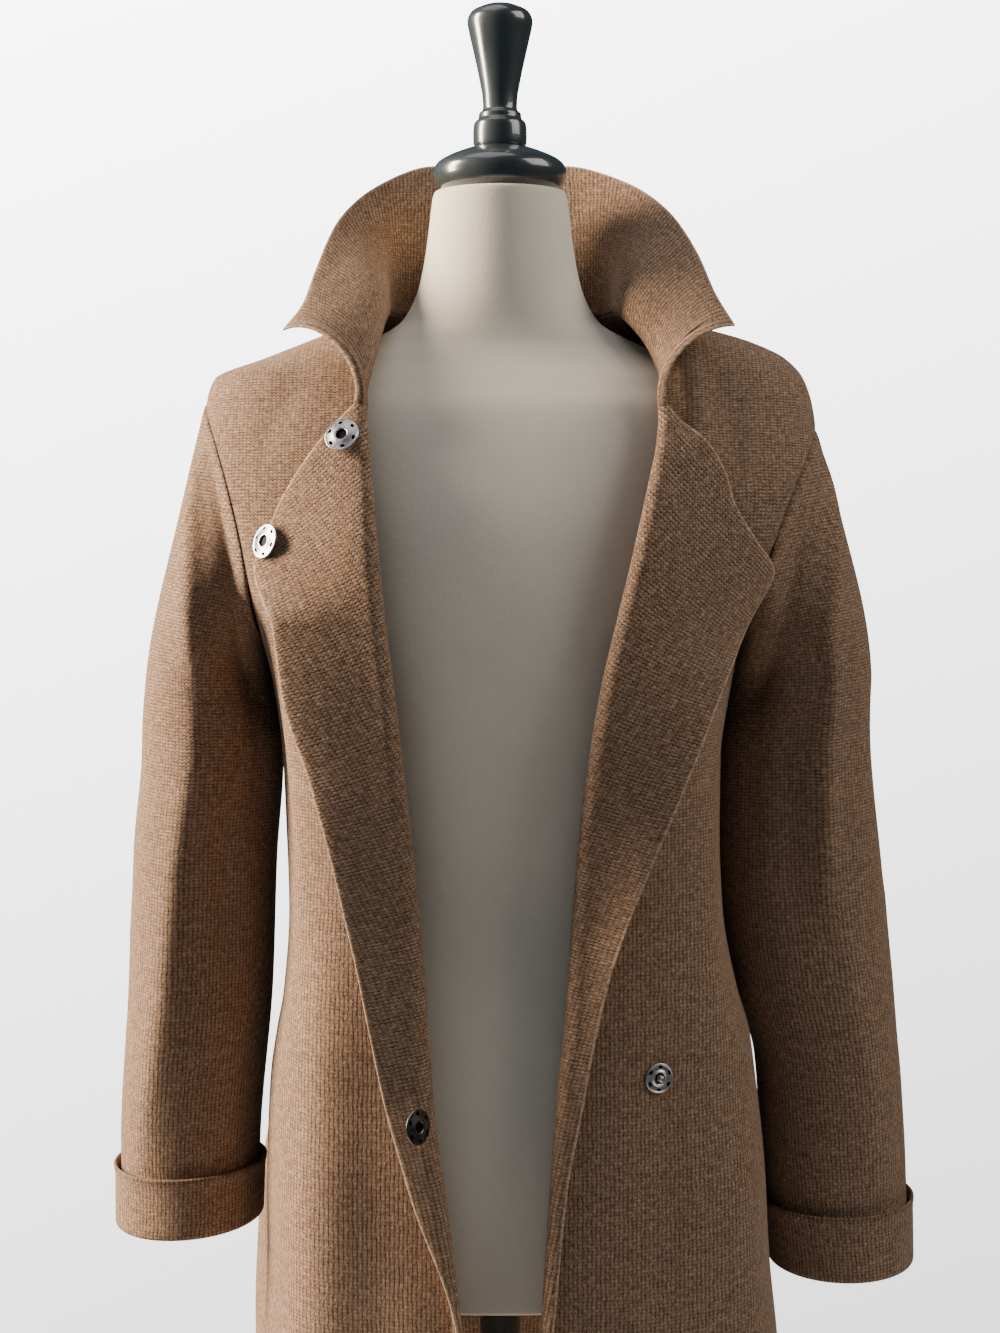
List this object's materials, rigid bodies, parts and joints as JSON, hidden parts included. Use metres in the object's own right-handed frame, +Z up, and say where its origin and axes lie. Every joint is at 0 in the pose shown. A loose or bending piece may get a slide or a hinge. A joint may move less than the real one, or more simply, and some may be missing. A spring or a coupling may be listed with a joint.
{
  "type": "cardigan coat on dress form",
  "caption": "Long knitted cardigan coat with turned-back lapels, stand collar, turned-up cuffs and sew-on snaps, worn open on a limbless dress form with a stand.",
  "frame": {"origin": "on the floor, at the middle of the underside of the stand's base", "axes": "+Z up the pole, -Y out of the coat's open front, +X towards the wearer's left sleeve"},
  "size_m": [0.594, 0.36, 1.6742],
  "materials": {
    "knit": "fine-gauge wool knit, soft brushed face",
    "snap_metal": "stamped steel, gunmetal plate",
    "form_jersey": "plain cotton jersey cover",
    "black_lacquer": "black gloss lacquer on turned wood"
  },
  "bodies": {
    "root": {"back": "knit", "front_right": "knit", "front_left": "knit", "collar": "knit", "sleeve_right": "knit", "sleeve_left": "knit", "snap_socket_top": "snap_metal", "snap_socket_corner": "snap_metal", "snap_socket_waist": "snap_metal", "snap_stud_waist": "snap_metal", "form_torso": "form_jersey", "neck_cap": "black_lacquer", "finial": "black_lacquer", "stand_pole": "black_lacquer", "stand_base": "black_lacquer"}
  },
  "joints": []
}
